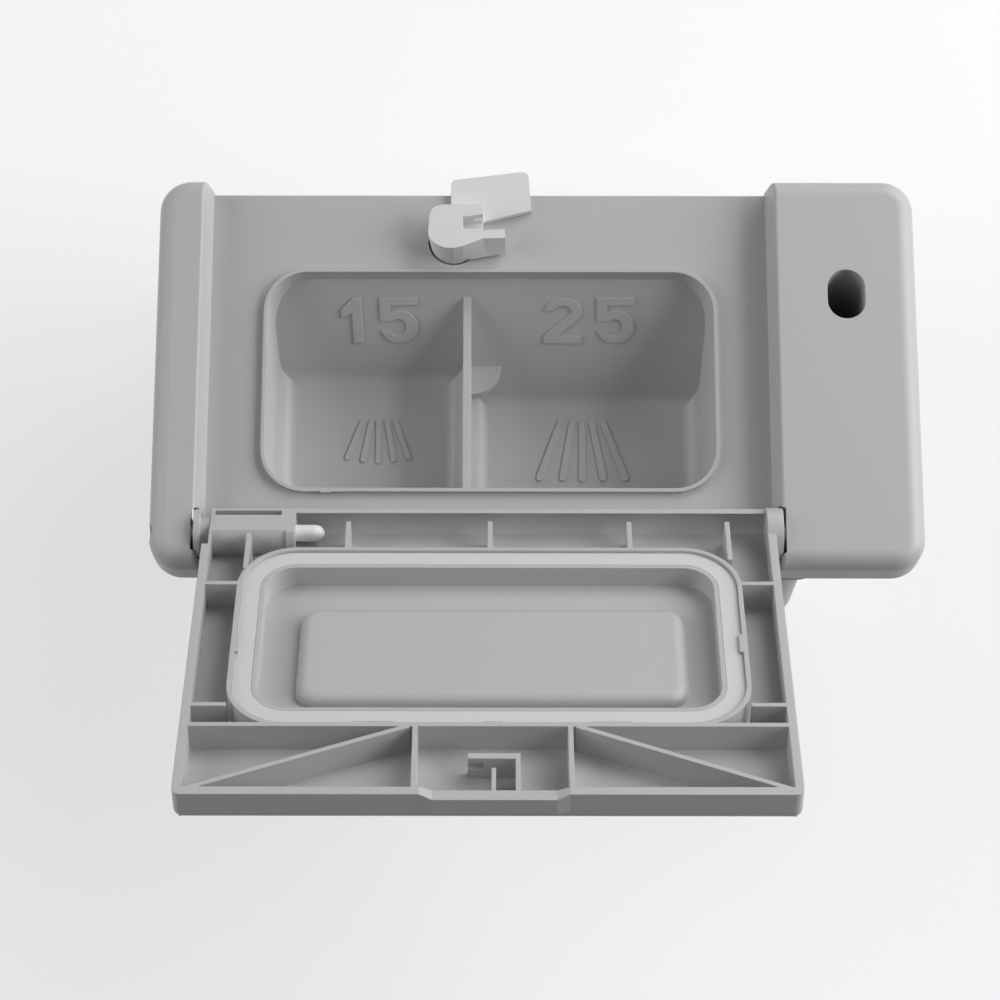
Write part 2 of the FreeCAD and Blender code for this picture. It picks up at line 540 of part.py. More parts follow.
def make_lid():
    """The lid: one moulding with ribs, seal ring, dome, barrel and catch."""
    shell = lid_profile(LID_BACK_R, LID_TIP, LID_SKIN, LID_END, LID_EDGE_R)
    shell.translate(V(LID_LEFT, 0, 0))
    shell = shell.extrude(V(LID_RIGHT - LID_LEFT, 0, 0))
    side_edges = edges_where(
        shell, lambda p, e: abs(p.z - LID_SKIN) < 0.01 and e.Length > LID_END / 2
        and min(abs(p.x - LID_LEFT), abs(p.x - LID_RIGHT)) < 0.01)
    shell = shell.makeFillet(LID_EDGE_R - 1, side_edges)
    inner = lid_profile(LID_BACK_R - LID_BACK_WALL, LID_TIP - 1, LID_FLOOR, LID_END - LID_END_WALL, 0.4)
    inner.translate(V(LID_LEFT + LID_WALL, 0, 0))
    inner = inner.extrude(V(LID_RIGHT - LID_LEFT - 2 * LID_WALL, 0, 0))
    shell = shell.cut(inner)

    grip = plan_prism([
        (GRIP_LEFT, LID_END - 0.5), (GRIP_LEFT, LID_END), (GRIP_LEFT + GRIP_RAMP, LID_END + GRIP_BULGE),
        (GRIP_RIGHT - GRIP_RAMP, LID_END + GRIP_BULGE), (GRIP_RIGHT, LID_END), (GRIP_RIGHT, LID_END - 0.5)],
        LID_TIP, LID_SKIN - LID_EDGE_R)

    x0, x1, y0, y1, r = ring_rect(0)
    seat_z = RIM_TOP + SEAL_GAP + SEAL_THICK
    ring = ring_block(0, LID_TIP, LID_FLOOR + 0.5).cut(ring_block(RING_WALL, LID_TIP - 1, seat_z))
    inner_wall_at = RING_WALL + SEAL_WIDTH
    inner_wall = ring_block(inner_wall_at, RIM_TOP + SEAL_GAP, LID_FLOOR + 0.5)
    ring = ring.fuse(inner_wall)
    ring = ring.cut(ring_block(inner_wall_at + RING_WALL, LID_TIP - 1, RECESS_FLOOR))
    dome = rounded_block(DOME_LEFT, DOME_RIGHT, DOME_NEAR, DOME_FAR, DOME_CORNER_R, DOME_FACE, RECESS_FLOOR + 0.4)
    dome = dome.makeFillet(DOME_EDGE_R, edges_where(dome, lambda p, e: abs(p.z - DOME_FACE) < 0.01))

    cross_far = y1 + CROSS_WALL - RING_WALL
    end_in = LID_END - LID_END_WALL + 0.2
    top = LID_FLOOR + 0.3
    ribs = [box(LID_LEFT + 1, LID_RIGHT - 1, y1 - RING_WALL, cross_far, LID_TIP, top)]
    for x in (LID_LEFT + FIRST_RIB, LID_LEFT + SECOND_RIB, LID_RIGHT - LAST_RIB):
        ribs.append(box(x - LID_RIB / 2, x + LID_RIB / 2, HINGE_Y + 0.5, y0 + 0.5, LID_TIP, top))
    corner_rib_end = y0 + 5.5
    right_x = LID_RIGHT - RIGHT_CORNER_RIB
    left_x = LID_LEFT + LEFT_SHORT_RIB
    ribs.append(box(right_x - LID_RIB / 2, right_x + LID_RIB / 2, HINGE_Y + 0.5, corner_rib_end, LID_TIP, top))
    ribs.append(box(left_x - LID_RIB / 2, left_x + LID_RIB / 2, HINGE_Y + BARREL_R - 1.5, y0 + 9.5, LID_TIP, top))
    for y in (HINGE_Y + SIDE_RIB_NEAR, HINGE_Y + SIDE_RIB_FAR):
        ribs.append(box(LID_LEFT + 1, x0 + 0.5, y - LID_RIB / 2, y + LID_RIB / 2, LID_TIP, top))
        ribs.append(box(x1 - 0.5, LID_RIGHT - 1, y - LID_RIB / 2, y + LID_RIB / 2, LID_TIP, top))
    ribs.append(box(POCKET_LEFT, POCKET_LEFT + LID_RIB, cross_far - 0.2, end_in, LID_TIP, top))
    ribs.append(box(POCKET_RIGHT, POCKET_RIGHT + LID_RIB, cross_far - 0.2, end_in, LID_TIP, top))
    for xa, xb in ((LID_LEFT + 1.5, POCKET_LEFT - 1.0), (LID_RIGHT - 1.5, POCKET_RIGHT + LID_RIB + 1.0)):
        ya = LID_END - 1.5
        yb = cross_far - 0.3
        dx = xb - xa
        dy = yb - ya
        size = math.hypot(dx, dy)
        nx = -dy / size * LID_RIB / 2
        ny = dx / size * LID_RIB / 2
        ribs.append(plan_prism(
            [(xa - nx, ya - ny), (xb - nx, yb - ny), (xb + nx, yb + ny), (xa + nx, ya + ny)], LID_TIP, top))

    tip = TAB_TOP + CATCH_TIP_GAP
    catch_far = CATCH_NEAR + CATCH_THICK
    wall = box(CATCH_LEFT, CATCH_RIGHT, CATCH_NEAR, catch_far, tip, top)
    leg = box(CATCH_RIGHT - CATCH_LEG, CATCH_RIGHT, catch_far - 0.2, end_in, tip, top)
    fin = box(
        CATCH_FIN_X - CATCH_FIN_THICK / 2, CATCH_FIN_X + CATCH_FIN_THICK / 2, CATCH_FIN_START, end_in, tip, top)
    notch = box(
        CATCH_LEFT - 1, CATCH_LEFT + NOTCH_LENGTH, catch_far - NOTCH_DEPTH, catch_far + 1,
        NOTCH_LOW, NOTCH_HIGH)

    left = LID_LEFT + HINGE_STEP
    barrel = cyl_x(BARREL_R - 0.7, left, BARREL_RIGHT, HINGE_Y, HINGE_Z)
    collar = cyl_x(BARREL_R, BARREL_RIGHT - BARREL_FLANGE, BARREL_RIGHT, HINGE_Y, HINGE_Z)
    barrel_back = box(
        left, BARREL_RIGHT, HINGE_Y - LID_BACK_R + LID_BACK_WALL - 0.4, HINGE_Y - 1.6, LID_TIP, HINGE_Z - 1)
    barrel_back = barrel_back.common(cyl_x(LID_BACK_R, left, BARREL_RIGHT, HINGE_Y, HINGE_Z))
    clear = BARREL_R * 1.6
    under_skin = box(LID_LEFT - clear, LID_RIGHT, HINGE_Y - clear, HINGE_Y + clear, LID_TIP, LID_SKIN - 0.8)
    barrel = fuse([barrel, collar, barrel_back]).common(under_skin)
    left_disc = cyl_x(LEFT_BOSS_R, RECESS_LEFT - BOSS_REACH, RECESS_LEFT - 0.1, HINGE_Y, HINGE_Z)
    left_neck = cyl_x(LEFT_NECK_R, RECESS_LEFT - BOSS_REACH, LID_LEFT + HINGE_STEP + 1, HINGE_Y, HINGE_Z)
    left_boss = fuse([left_disc, left_neck])
    left_boss = left_boss.common(box(RECESS_LEFT - 9, LID_LEFT + 2, HINGE_Y - 9, HINGE_Y + 9, -9, LID_SKIN))
    right_boss = cyl_x(RIGHT_BOSS_R, LID_RIGHT - LID_WALL, RECESS_RIGHT + BOSS_REACH, HINGE_Y, HINGE_Z)
    right_boss = right_boss.common(box(LID_RIGHT - 9, RECESS_RIGHT + 9, HINGE_Y - 9, HINGE_Y + 9, -9, LID_SKIN))
    stub = cyl_x(STUB_R, RECESS_RIGHT, RECESS_RIGHT + BOSS_REACH + STUB_LENGTH, HINGE_Y, HINGE_Z)

    step_cut = box(
        LID_LEFT - 1, LID_LEFT + HINGE_STEP, HINGE_Y - clear, HINGE_Y + HINGE_STEP_LENGTH, LID_TIP - 2,
        LID_SKIN + 1)
    whole = fuse([shell, grip, ring, dome, wall, leg, fin, barrel, right_boss, stub] + ribs)
    whole = whole.cut(step_cut).fuse(left_boss)
    ramp = [
        V(GRIP_LEFT, LID_END - LID_END_WALL - 1, LID_TIP - 1), V(GRIP_LEFT, LID_END - LID_END_WALL - 1, LID_TIP),
        V(GRIP_LEFT + GRIP_RAMP, LID_END - LID_END_WALL - 1, tip),
        V(GRIP_RIGHT - GRIP_RAMP, LID_END - LID_END_WALL - 1, tip),
        V(GRIP_RIGHT, LID_END - LID_END_WALL - 1, LID_TIP), V(GRIP_RIGHT, LID_END - LID_END_WALL - 1, LID_TIP - 1)]
    tab_way = Part.Face(Part.makePolygon(ramp + [ramp[0]])).extrude(V(0, LID_END_WALL + 4, 0))
    bore = cyl_x(BARREL_BORE_R, LID_LEFT + HINGE_STEP + BARREL_END, BARREL_RIGHT - BARREL_FLANGE, HINGE_Y, HINGE_Z)
    pin_way = cyl_x(PIN_R + RUNNING_GAP, RECESS_LEFT - 9, BARREL_RIGHT + 1, HINGE_Y, HINGE_Z)
    slot_mid = HINGE_Y - 3.6
    slot = box(
        LID_LEFT + HINGE_STEP + 1.2, BARREL_RIGHT - 4.4, slot_mid - BARREL_SLOT / 2, slot_mid + BARREL_SLOT / 2,
        LID_TIP - 1, HINGE_Z - 1)
    whole = whole.cut([tab_way, bore, pin_way, slot, notch])
    whole = whole.fuse(seal_tabs())
    return swing_open(whole.removeSplitter())


NOTCH_LENGTH = 4.4
NOTCH_DEPTH = 1.2
NOTCH_LOW = 4.6
NOTCH_HIGH = 7.2
NOSE_REACH = 0.6
TAB_THICK = 0.7
TAB_OVERHANG = 1.0


def seal_tabs():
    """Small tabs on the ring's outer wall that reach over the seal."""
    x0, x1, y0, y1, r = ring_rect(0)
    low = LID_TIP
    high = RIM_TOP + SEAL_GAP - SEAL_SIDE_GAP
    reach = RING_WALL + TAB_OVERHANG
    tabs = []
    for a, b in ((-54.0, -42.8), (-19.8, -9.5), (13.1, 24.3)):
        tabs.append(box(a, b, y0, y0 + RING_WALL - 0.5 + TAB_OVERHANG / 2, low, high))
    for a, b in ((-52.8, -41.2), (-16.1, -10.5), (14.9, 26.2)):
        tabs.append(box(a, b, y1 - RING_WALL - TAB_OVERHANG / 2, y1, low, high))
    for y in (HINGE_Y + 51.6,):
        tabs.append(box(x0, x0 + reach, y, y + 7.6, low, high))
        tabs.append(box(x1 - reach, x1, y, y + 7.6, low, high))
    return tabs


def make_lid_seal():
    """The flat rubber ring that meets the cup rim."""
    low = RIM_TOP + SEAL_GAP
    high = low + SEAL_THICK
    ring = ring_block(RING_WALL + SEAL_SIDE_GAP, low, high)
    ring = ring.cut(ring_block(RING_WALL + SEAL_WIDTH - SEAL_SIDE_GAP, low - 1, high + 1))
    return swing_open(ring)


def make_hinge_pin():
    """The white pin that passes through the column and the lid's barrel."""
    left = -FACE_HALF_WIDTH + 1.5
    outline = [
        V(left, 0, 0), V(left, PIN_R, 0), V(PIN_RIGHT - PIN_R, PIN_R, 0),
        V(PIN_RIGHT - PIN_R * 0.5, PIN_R * 0.87, 0), V(PIN_RIGHT - PIN_R * 0.13, PIN_R * 0.5, 0),
        V(PIN_RIGHT, PIN_R * 0.2, 0), V(PIN_RIGHT, 0, 0)]
    pin = Part.Face(Part.makePolygon(outline + [outline[0]])).revolve(V(0, 0, 0), X_AXIS, 360)
    pin.translate(V(0, HINGE_Y, HINGE_Z))
    return pin


def make_lid_spring():
    """The torsion spring round the pin, inside the barrel."""
    left = LID_LEFT + HINGE_STEP + BARREL_END
    room = BARREL_RIGHT - BARREL_FLANGE - left
    pitch = (room - 2 * LID_SPRING_WIRE) / LID_SPRING_TURNS
    start = V(left + LID_SPRING_WIRE, HINGE_Y, HINGE_Z)
    return swing_open(spring_coil(LID_SPRING_R, LID_SPRING_WIRE, pitch, LID_SPRING_TURNS, start, X_AXIS))


def make_latch_lever():
    """Hub, hooked arm, block, release tab and shaft, moulded in one."""
    top = LATCH_TOP
    low = TAB_BOTTOM
    slot_left = CATCH_LEFT - 3.0
    slot_near = CATCH_NEAR - 0.8
    slot_far = CATCH_NEAR + CATCH_THICK + 1.0
    hub_low = []
    hub_high = []
    for step in range(24):
        a = math.pi * step / 12
        hub_low.append(V(LATCH_X + LATCH_FOOT_R * math.cos(a), LATCH_Y + LATCH_FOOT_R * math.sin(a), -0.5))
        hub_high.append(V(
            LATCH_X - LATCH_HUB_LEAN + LATCH_HUB_R * math.cos(a), LATCH_Y + LATCH_HUB_NEAR * math.sin(a), top))
    hub = Part.makeLoft(
        [Part.makePolygon(hub_low + [hub_low[0]]), Part.makePolygon(hub_high + [hub_high[0]])], True, True)
    foot = cyl_z(LATCH_FOOT_R, -LATCH_WELL_DEPTH + LATCH_GAP, 0, LATCH_X, LATCH_Y)
    shaft = cyl_z(SHAFT_R, SHAFT_BOTTOM, 0, LATCH_X, LATCH_Y)
    block = plan_prism([
        (LATCH_X - 7.9, LATCH_Y), (LATCH_X + 9.4, LATCH_Y), (LATCH_X + 9.4, LATCH_Y + 9.0),
        (LATCH_X - 3.8, LATCH_Y + 9.0), (LATCH_X - 5.7, LATCH_Y + 8.5), (LATCH_X - 7.1, LATCH_Y + 7.2),
        (LATCH_X - 7.7, LATCH_Y + 5.2)], low, top)
    arm_low = [
        V(LATCH_X, LATCH_Y - LATCH_FOOT_R + 0.3, low + 1.0), V(LATCH_X + 3.0, LATCH_Y - 6.9, low + 1.0),
        V(LATCH_X + 6.2, LATCH_Y - 6.5, low + 1.0), V(LATCH_X + 10.5, LATCH_Y - 5.7, low + 1.0),
        V(LATCH_X + 16.5, LATCH_Y - 4.7, low + 1.0), V(LATCH_X + 16.2, slot_near, low + 1.0),
        V(LATCH_X, slot_near - 1.2, low + 1.0)]
    arm_high = [
        V(LATCH_X, LATCH_Y - LATCH_HUB_NEAR, top), V(LATCH_X + 3.0, LATCH_Y - 5.1, top),
        V(LATCH_X + 6.2, LATCH_Y - 3.8, top), V(LATCH_X + 9.3, LATCH_Y - 2.5, top),
        V(LATCH_X + 16.4, LATCH_Y - 2.3, top), V(LATCH_X + 16.2, slot_near, top),
        V(LATCH_X, slot_near - 1.2, top)]
    arm = Part.makeLoft([Part.makePolygon(arm_low + [arm_low[0]]), Part.makePolygon(arm_high + [arm_high[0]])],
                        True, True)
    tab = plan_prism([
        (LATCH_X - 0.9, LATCH_Y + 6.0), (LATCH_X + 8.0, slot_far + 0.6), (LATCH_X + 24.6, LATCH_Y + 9.6),
        (LATCH_X + 23.8, LATCH_Y + 23.0), (LATCH_X - 0.9, LATCH_Y + 19.9)], low, TAB_TOP)
    tab = tab.makeFillet(2.0, edges_where(
        tab, lambda p, e: e.Length < (TAB_TOP - low) * 1.05 and abs(p.z - (low + TAB_TOP) / 2) < 0.01 and p.y > LATCH_Y + 15))
    nose = box(
        CATCH_LEFT + 0.4, CATCH_LEFT + 2.9, slot_far - NOSE_REACH, slot_far + 1.0,
        NOTCH_LOW + 0.4, NOTCH_HIGH - 0.4)
    mouth = plan_prism([
        (slot_left, slot_near), (LATCH_X + 30, slot_near), (LATCH_X + 30, slot_far + 2.6),
        (LATCH_X + 9.4, slot_far + 0.9), (CATCH_LEFT - 1.2, slot_far + 0.15), (slot_left, slot_far)],
        TAB_TOP, top + 1)
    body = fuse([hub, block, arm]).cut(mouth)
    return fuse([body, foot, shaft, tab, nose])


def crank_z():
    """The crank's underside."""
    return DRIVE_Z + TONGUE_THICK / 2 + 0.3


def make_latch_crank():
    """The crank on the shaft, with the pin that drives the plunger."""
    low = crank_z()
    high = low + CRANK_THICK
    hub = cyl_z(CRANK_R, low, high, LATCH_X, LATCH_Y)
    arm = box(LATCH_X - 3.4, LATCH_X + 3.4, LATCH_Y - CRANK_ARM, LATCH_Y, low, high)
    end = cyl_z(3.4, low, high, LATCH_X, LATCH_Y - CRANK_ARM)
    pin = cyl_z(CRANK_PIN_R, low - TONGUE_THICK - 1.6, low, LATCH_X, LATCH_Y - CRANK_ARM)
    whole = fuse([hub, arm, end, pin])
    return whole.cut(cyl_z(SHAFT_R, low - 1, high + 1, LATCH_X, LATCH_Y))


def make_crank_clip():
    """The retaining ring that keeps the shaft in its bearing."""
    high = BEARING_BOTTOM - 0.3
    ring = cyl_z(CLIP_R, high - CLIP_THICK, high, LATCH_X, LATCH_Y)
    ring = ring.cut(cyl_z(SHAFT_R, high - 2, high + 1, LATCH_X, LATCH_Y))
    return ring.cut(box(LATCH_X - 1.2, LATCH_X + 1.2, LATCH_Y, LATCH_Y + 9, high - 2, high + 1))


def make_shaft_seal():
    """The rubber ring in the latch well, round the shaft."""
    high = -LATCH_WELL_DEPTH
    inner = SHAFT_R + RUNNING_GAP
    ring = cyl_z(inner + 2 * SEAL_RING_R, high - 2 * SEAL_RING_R, high, LATCH_X, LATCH_Y)
    return ring.cut(cyl_z(inner, high - 2 * SEAL_RING_R - 1, high + 1, LATCH_X, LATCH_Y))


def drive_y():
    """The drive axis, one crank arm before the latch shaft."""
    return LATCH_Y - CRANK_ARM


def make_plunger():
    """The steel plunger with a slotted tongue for the crank pin."""
    y = drive_y()
    rod = cyl_x(PLUNGER_R, PLUNGER_LEFT, PLUNGER_RIGHT, y, DRIVE_Z)
    tongue = box(
        LATCH_X - 6, PLUNGER_LEFT + 3, y - TONGUE_HALF, y + TONGUE_HALF,
        DRIVE_Z - TONGUE_THICK / 2, DRIVE_Z + TONGUE_THICK / 2)
    slot = rounded_block(
        LATCH_X - CRANK_PIN_R - 0.3, LATCH_X + CRANK_PIN_R + 0.3, y - 2.6, y + 2.6, CRANK_PIN_R + 0.2,
        DRIVE_Z - 5, DRIVE_Z + 5)
    return fuse([rod, tongue]).cut(slot)


def make_bobbin():
    """The coil former."""
    y = drive_y()
    tube_r = PLUNGER_R + BOBBIN_BORE_GAP + BOBBIN_TUBE
    parts = [
        cyl_x(tube_r, BOBBIN_LEFT, BOBBIN_RIGHT, y, DRIVE_Z),
        cyl_x(BOBBIN_R, BOBBIN_LEFT, BOBBIN_LEFT + BOBBIN_FLANGE, y, DRIVE_Z),
        cyl_x(BOBBIN_R, BOBBIN_RIGHT - BOBBIN_FLANGE, BOBBIN_RIGHT, y, DRIVE_Z),
    ]
    return fuse(parts).cut(cyl_x(PLUNGER_R + BOBBIN_BORE_GAP, BOBBIN_LEFT - 1, BOBBIN_RIGHT + 1, y, DRIVE_Z))


def make_winding():
    """The copper winding between the former's flanges."""
    y = drive_y()
    x0 = BOBBIN_LEFT + BOBBIN_FLANGE
    x1 = BOBBIN_RIGHT - BOBBIN_FLANGE
    outer = cyl_x(COIL_R, x0, x1, y, DRIVE_Z)
    return outer.cut(cyl_x(PLUNGER_R + BOBBIN_BORE_GAP + BOBBIN_TUBE, x0 - 1, x1 + 1, y, DRIVE_Z))


def make_yoke():
    """The bent steel frame round the coil."""
    y = drive_y()
    half = BOBBIN_R * 0.7
    low = DRIVE_Z - BOBBIN_R - YOKE_GAP - YOKE_THICK
    high = DRIVE_Z + BOBBIN_R * 0.78
    x0 = BOBBIN_LEFT - YOKE_THICK
    x1 = BOBBIN_RIGHT + YOKE_THICK
    base = box(x0, x1, y - half, y + half, low, low + YOKE_THICK)
    front = box(x0, BOBBIN_LEFT, y - half, y + half, low, high)
    back = box(BOBBIN_RIGHT, x1, y - half, y + half, low, high)
    hole = cyl_x(PLUNGER_R + 0.4, x0 - 1, BOBBIN_LEFT + 1, y, DRIVE_Z)
    back_hole = cyl_x(DOSER_R + 0.4, BOBBIN_RIGHT - 1, x1 + 1, y, DRIVE_Z)
    return fuse([base, front, back]).cut([hole, back_hole])


def make_terminals():
    """Two blades on the former for the wiring plug."""
    y = drive_y()
    blades = []
    for x in (BOBBIN_LEFT + 8.0, BOBBIN_LEFT + 18.0):
        blades.append(box(
            x, x + 6.3, y + COIL_R - 0.0, y + COIL_R + TERMINAL_LENGTH, DRIVE_Z - 0.4, DRIVE_Z + 0.4))
    return Part.makeCompound(blades)


def make_doser():
    """The rinse-aid dosing stem, pushed by the plunger."""
    y = drive_y()
    stem = cyl_x(DOSER_R, PLUNGER_RIGHT + 0.3, DOSER_RIGHT, y, DRIVE_Z)
    head = cyl_x(DOSER_HEAD_R, DOSER_RIGHT, DOSER_RIGHT + 2.0, y, DRIVE_Z)
    collar = cyl_x(DOSER_HEAD_R, SLEEVE_LEFT - 10.0, SLEEVE_LEFT - 8.6, y, DRIVE_Z)
    return fuse([stem, head, collar])


def make_doser_seal():
    """The rubber ring under the dosing stem's head."""
    y = drive_y()
    ring = cyl_x(DOSER_HEAD_R, DOSER_RIGHT - 1.5, DOSER_RIGHT, y, DRIVE_Z)
    return ring.cut(cyl_x(DOSER_R, DOSER_RIGHT - 3, DOSER_RIGHT + 1, y, DRIVE_Z))


def make_doser_spring():
    """The compression spring that closes the dosing valve."""
    turns = 5
    length = 8.6 - 1.2
    pitch = (length - DRIVE_SPRING_WIRE) / turns
    start = V(SLEEVE_LEFT - 8.6 + 0.6 + DRIVE_SPRING_WIRE / 2, drive_y(), DRIVE_Z)
    return spring_coil(DOSER_R + 0.9, DRIVE_SPRING_WIRE, pitch, turns, start, X_AXIS)


def make_plunger_spring():
    """The compression spring between the yoke and the plunger's tongue."""
    turns = 5
    space = BOBBIN_LEFT - YOKE_THICK - (PLUNGER_LEFT + 3)
    pitch = (space - DRIVE_SPRING_WIRE - 0.8) / turns
    start = V(PLUNGER_LEFT + 3 + 0.4 + DRIVE_SPRING_WIRE / 2, drive_y(), DRIVE_Z)
    return spring_coil(PLUNGER_R + 0.8, DRIVE_SPRING_WIRE, pitch, turns, start, X_AXIS)


def make_crank_spring():
    """The torsion spring round the shaft, above the crank."""
    low = crank_z() + CRANK_THICK
    high = BEARING_BOTTOM - 0.3 - CLIP_THICK
    turns = 3
    pitch = (high - low - 2 * DRIVE_SPRING_WIRE) / turns
    start = V(LATCH_X, LATCH_Y, low + DRIVE_SPRING_WIRE)
    return spring_coil(SHAFT_R + 0.9, DRIVE_SPRING_WIRE, pitch, turns, start, Z_AXIS)


def make_fixing_clips():
    """Six spring-steel clips on the body that grip the door panel behind the gasket."""
    clips = []
    top = -FLANGE_THICK - GASKET_THICK - PANEL_GAP
    low = top - CLIP_HEIGHT
    strip = [
        (0, low), (CLIP_STRIP, low), (CLIP_STRIP + CLIP_OUT, top - 2.0), (CLIP_STRIP + CLIP_OUT, top),
        (CLIP_STRIP + CLIP_OUT - CLIP_STRIP, top), (CLIP_STRIP + CLIP_OUT - CLIP_STRIP, top - 1.8),
        (CLIP_STRIP * 0.9, low + 1.6), (CLIP_STRIP * 0.9, low + 4.0), (0, low + 4.0)]
    middle = (BODY_LEFT + BODY_RIGHT) / 2
    for x in (BODY_LEFT + CLIP_INSET, middle, BODY_RIGHT - CLIP_INSET):
        far = [(BODY_FAR + a, b) for a, b in strip]
        near = [(BODY_NEAR - a, b) for a, b in strip]
        clips.append(side_prism(far, x - CLIP_WIDTH / 2, x + CLIP_WIDTH / 2))
        clips.append(side_prism(near, x - CLIP_WIDTH / 2, x + CLIP_WIDTH / 2))
    return Part.makeCompound(clips)


NODES = {
    "front_housing": make_front_housing,
    "rear_shell": make_rear_shell,
    "tank_cover": make_tank_cover,
    "door_gasket": make_gasket,
    "fixing_clips": make_fixing_clips,
    "lid": make_lid,
    "lid_seal": make_lid_seal,
    "hinge_pin": make_hinge_pin,
    "lid_spring": make_lid_spring,
    "latch_lever": make_latch_lever,
    "latch_crank": make_latch_crank,
    "crank_clip": make_crank_clip,
    "crank_spring": make_crank_spring,
    "shaft_seal": make_shaft_seal,
    "solenoid_plunger": make_plunger,
    "plunger_spring": make_plunger_spring,
    "solenoid_bobbin": make_bobbin,
    "solenoid_winding": make_winding,
    "solenoid_yoke": make_yoke,
    "terminal_blades": make_terminals,
    "dosing_stem": make_doser,
    "dosing_seal": make_doser_seal,
    "dosing_spring": make_doser_spring,
}


def main():
    """Build every piece, set the origin at the bottom centre and write one file per piece."""
    os.makedirs("parts", exist_ok=True)
    shapes = {name: make() for name, make in NODES.items()}
    whole = Part.makeCompound(list(shapes.values())).optimalBoundingBox(False, False)
    shift = V(-(whole.XMin + whole.XMax) / 2, -(whole.YMin + whole.YMax) / 2, -whole.ZMin)
    print("shift", round(shift.x, 4), round(shift.y, 4), round(shift.z, 4))
    print("size", round(whole.XLength, 2), round(whole.YLength, 2), round(whole.ZLength, 2))
    for name, shape in shapes.items():
        print(name, "solids", len(shape.Solids), "valid", shape.isValid(), "volume", round(shape.Volume, 1))
        shape.translate(shift)
        shape.exportStep(os.path.join("parts", name + ".step"))


main()
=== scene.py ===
# %% [markdown]
# # A detergent dispenser in Blender
#
# This is the dispenser from the inside of a dishwasher's door: a grey housing with a cup for two
# doses, a lid that lies open in front of it, a pale latch lever and a white hinge pin. The packed
# part gives the shape and place of every piece. This lesson adds what makes it look real: moulded
# plastic with a fine grain, dose numbers and rib marks in the cup, and soft studio light on a pale
# table. Every code cell after the loading prints what it made or measured, so the numbers can be
# checked.

# %% Load the imported part
import json
import math

import bpy
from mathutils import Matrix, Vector


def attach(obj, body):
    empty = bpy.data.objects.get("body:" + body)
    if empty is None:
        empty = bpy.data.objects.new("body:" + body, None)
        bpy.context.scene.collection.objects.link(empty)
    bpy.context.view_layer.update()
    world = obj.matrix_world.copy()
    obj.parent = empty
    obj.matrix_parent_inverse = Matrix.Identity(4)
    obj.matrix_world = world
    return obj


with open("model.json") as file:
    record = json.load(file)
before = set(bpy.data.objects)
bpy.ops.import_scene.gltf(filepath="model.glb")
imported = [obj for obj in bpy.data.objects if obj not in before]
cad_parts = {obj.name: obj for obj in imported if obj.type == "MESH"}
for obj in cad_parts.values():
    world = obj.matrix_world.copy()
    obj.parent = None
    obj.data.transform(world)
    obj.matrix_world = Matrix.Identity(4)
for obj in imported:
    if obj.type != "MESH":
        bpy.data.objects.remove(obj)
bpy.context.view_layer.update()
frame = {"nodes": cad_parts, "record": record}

# %% [markdown]
# ## Where things are
#
# The part was drawn in millimetres from its face plate, and the scene is in metres from the table.
# Places could be typed in metres, but then they would be hard to compare with the drawing. So they
# stay as drawn here, and one function turns them into the scene's metres.

# %% Places from the drawing
MM_IN_METRE = 1000.0
SHIFT = Vector((0.0, 1.187, 60.0))
SLOPE = math.radians(47.0)
SLOPE_TOP = Vector((0.0, 74.6, -2.9))
SMALL_FLOOR = -30.0
LARGE_FLOOR = -36.0


def place(x, y, z):
    """A point of the drawing, in the scene's metres."""
    return (Vector((x, y, z)) + SHIFT) / MM_IN_METRE


print("cup far edge is at", place(0.0, SLOPE_TOP.y, SLOPE_TOP.z))

# %% [markdown]
# ## The camera
#
# The photo looks down on the open dispenser from the side where its lid lies. The camera could be
# set by eye, but a small error would move every edge. Its place, turn and lens were fitted to the
# photo instead, from the cup rim, the lid and the two columns.

# %% Camera
CAMERA_PLACE = (-11.05, -244.9, 867.95)
CAMERA_TILT = math.radians(15.76)
CAMERA_TURN = math.radians(0.08)
LENS_MM = 104.54
FILM_WIDTH_MM = 36.0
NEAREST_SEEN = 0.01

camera_data = bpy.data.cameras.new("camera")
camera_data.lens = LENS_MM
camera_data.sensor_width = FILM_WIDTH_MM
camera_data.clip_start = NEAREST_SEEN
camera = bpy.data.objects.new("camera", camera_data)
bpy.context.scene.collection.objects.link(camera)
camera.location = place(*CAMERA_PLACE)
camera.rotation_euler = (CAMERA_TILT, 0.0, CAMERA_TURN)
bpy.context.scene.camera = camera
print("camera at", camera.location)

# %% [markdown]
# ## The moulded grain
#
# A moulded surface is never quite smooth, and its sharp edges are slightly round. Both could be
# modelled, but that would take far too many faces. Here fine noise drives a weak bump and a small
# change of roughness, and a bevel in the shading rounds the light on the edges. Plastic and rubber
# both need this, so it is one node group with inputs of its own, and a change to it reaches all.

# %% Grain: the sockets of the group
GRAIN_SCALE = 2600.0
GRAIN_DEPTH = 0.05
MIDDLE_ROUGHNESS = 0.5

grain = bpy.data.node_groups.new("moulded_grain", "ShaderNodeTree")
for title, value in (("Scale", GRAIN_SCALE), ("Depth", GRAIN_DEPTH), ("Roughness", MIDDLE_ROUGHNESS)):
    socket = grain.interface.new_socket(title, in_out="INPUT", socket_type="NodeSocketFloat")
    socket.default_value = value
grain.interface.new_socket("Roughness", in_out="OUTPUT", socket_type="NodeSocketFloat")
grain.interface.new_socket("Normal", in_out="OUTPUT", socket_type="NodeSocketVector")
print("grain group has", len(grain.interface.items_tree), "sockets")

# %% Grain: the nodes of the group
GRAIN_DETAIL = 3.0
ROUGHNESS_CHANGE = 0.08
GRAIN_HEIGHT = 0.0002
EDGE_RADIUS = 0.00035
EDGE_SAMPLES = 6

